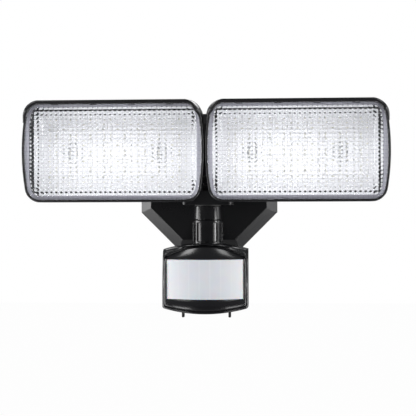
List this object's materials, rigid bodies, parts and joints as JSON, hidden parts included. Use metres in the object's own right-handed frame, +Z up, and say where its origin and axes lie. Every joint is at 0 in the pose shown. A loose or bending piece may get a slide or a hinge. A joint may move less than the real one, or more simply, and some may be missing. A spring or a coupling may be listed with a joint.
{
  "type": "motion sensor security light",
  "caption": "Wall-mounted security light with adjustable rectangular LED heads, hooded prismatic lenses, an octagonal base and a swivelling motion sensor.",
  "frame": {"origin": "centre of the base's wall face", "axes": "+X to the right as seen from the front, +Y into the wall, +Z up"},
  "size_m": [0.3, 0.109, 0.1798],
  "materials": {
    "base_plastic": "black gloss moulding",
    "frame_plastic": "black gloss moulding",
    "housing_paint": "black powder coat on die-cast metal",
    "sensor_plastic": "black gloss moulding",
    "ring_plastic": "black fluted moulding",
    "arm_metal": "black powder coat",
    "clear_lens": "clear prismatic",
    "sensor_lens": "milky translucent",
    "reflector_white": "white satin",
    "led_phosphor": "pale yellow phosphor",
    "led_board": "white solder mask on aluminium",
    "circuit_board": "green solder mask",
    "component_black": "moulded components",
    "component_blue": "blue relay case",
    "terminal_grey": "grey terminal block",
    "seal_rubber": "black rubber",
    "seal_grey": "grey silicone",
    "gasket_foam": "closed-cell foam",
    "zinc_steel": "zinc plated",
    "black_steel": "black oxide",
    "detector_can": "plated can",
    "cell_red": "light cell"
  },
  "bodies": {
    "base": {"wall_base": "base_plastic", "wall_gasket": "gasket_foam", "mounting_strap": "zinc_steel", "centre_bolt": "zinc_steel", "bolt_plug": "seal_rubber", "driver_board": "circuit_board", "driver_board_screws": "zinc_steel", "driver_parts": "component_black", "terminal_block": "terminal_grey", "sensor_neck": "ring_plastic", "neck_seal": "seal_rubber", "neck_nut": "black_steel", "left_pan_bolt": "black_steel", "left_pan_nut": "black_steel", "right_pan_bolt": "black_steel", "right_pan_nut": "black_steel"},
    "lock_ring": {"lock_ring": "ring_plastic"},
    "swivel": {"swivel_post": "ring_plastic"},
    "sensor": {"sensor_tilt_pin": "zinc_steel", "sensor_yoke": "sensor_plastic", "sensor_rear_shell": "sensor_plastic", "sensor_front_fascia": "sensor_plastic", "sensor_lens": "sensor_lens", "sensor_board": "circuit_board", "sensor_board_screws": "zinc_steel", "infrared_detector": "detector_can", "light_cell": "cell_red", "relay": "component_blue", "time_switch": "component_black", "range_switch": "component_black", "shell_screws": "black_steel"},
    "time_lever": {"time_lever": "component_black"},
    "range_lever": {"range_lever": "component_black"},
    "left_arm": {"left_knuckle": "arm_metal"},
    "left_head": {"left_tilt_bolt": "black_steel", "left_tilt_nut": "black_steel", "left_rear_housing": "housing_paint", "left_housing_seal": "seal_rubber", "left_front_frame": "frame_plastic", "left_lens": "clear_lens", "left_lens_gasket": "seal_grey", "left_reflector": "reflector_white", "left_led_board": "led_board", "left_leds": "led_phosphor", "left_board_screws": "zinc_steel"},
    "right_arm": {"right_knuckle": "arm_metal"},
    "right_head": {"right_tilt_bolt": "black_steel", "right_tilt_nut": "black_steel", "right_rear_housing": "housing_paint", "right_housing_seal": "seal_rubber", "right_front_frame": "frame_plastic", "right_lens": "clear_lens", "right_lens_gasket": "seal_grey", "right_reflector": "reflector_white", "right_led_board": "led_board", "right_leds": "led_phosphor", "right_board_screws": "zinc_steel"}
  },
  "joints": [
    {"name": "left_pan", "type": "hinge", "parent": "base", "child": "left_arm", "pos_m": [-0.038, -0.046, 0.008], "axis": [0, 0, -1], "range_deg": [0, 20]},
    {"name": "left_tilt", "type": "hinge", "parent": "left_arm", "child": "left_head", "pos_m": [-0.038, -0.06, 0.008], "axis": [1, 0, 0], "range_deg": [-30, 25]},
    {"name": "right_pan", "type": "hinge", "parent": "base", "child": "right_arm", "pos_m": [0.038, -0.046, 0.008], "axis": [0, 0, 1], "range_deg": [0, 20]},
    {"name": "right_tilt", "type": "hinge", "parent": "right_arm", "child": "right_head", "pos_m": [0.038, -0.06, 0.008], "axis": [1, 0, 0], "range_deg": [-30, 25]},
    {"name": "ring_turn", "type": "hinge", "parent": "base", "child": "lock_ring", "pos_m": [0, -0.05, -0.044], "axis": [0, 0, 1], "range_deg": [0, 90]},
    {"name": "sensor_pan", "type": "hinge", "parent": "base", "child": "swivel", "pos_m": [0, -0.05, -0.048], "axis": [0, 0, 1], "range_deg": [-30, 30]},
    {"name": "sensor_tilt", "type": "hinge", "parent": "swivel", "child": "sensor", "pos_m": [0, -0.05, -0.065], "axis": [1, 0, 0], "range_deg": [-10, 20]},
    {"name": "time_slide", "type": "slide", "parent": "sensor", "child": "time_lever", "axis": [1, 0, 0], "range_m": [-0.004, 0.004]},
    {"name": "range_slide", "type": "slide", "parent": "sensor", "child": "range_lever", "axis": [1, 0, 0], "range_m": [-0.004, 0.004]}
  ]
}
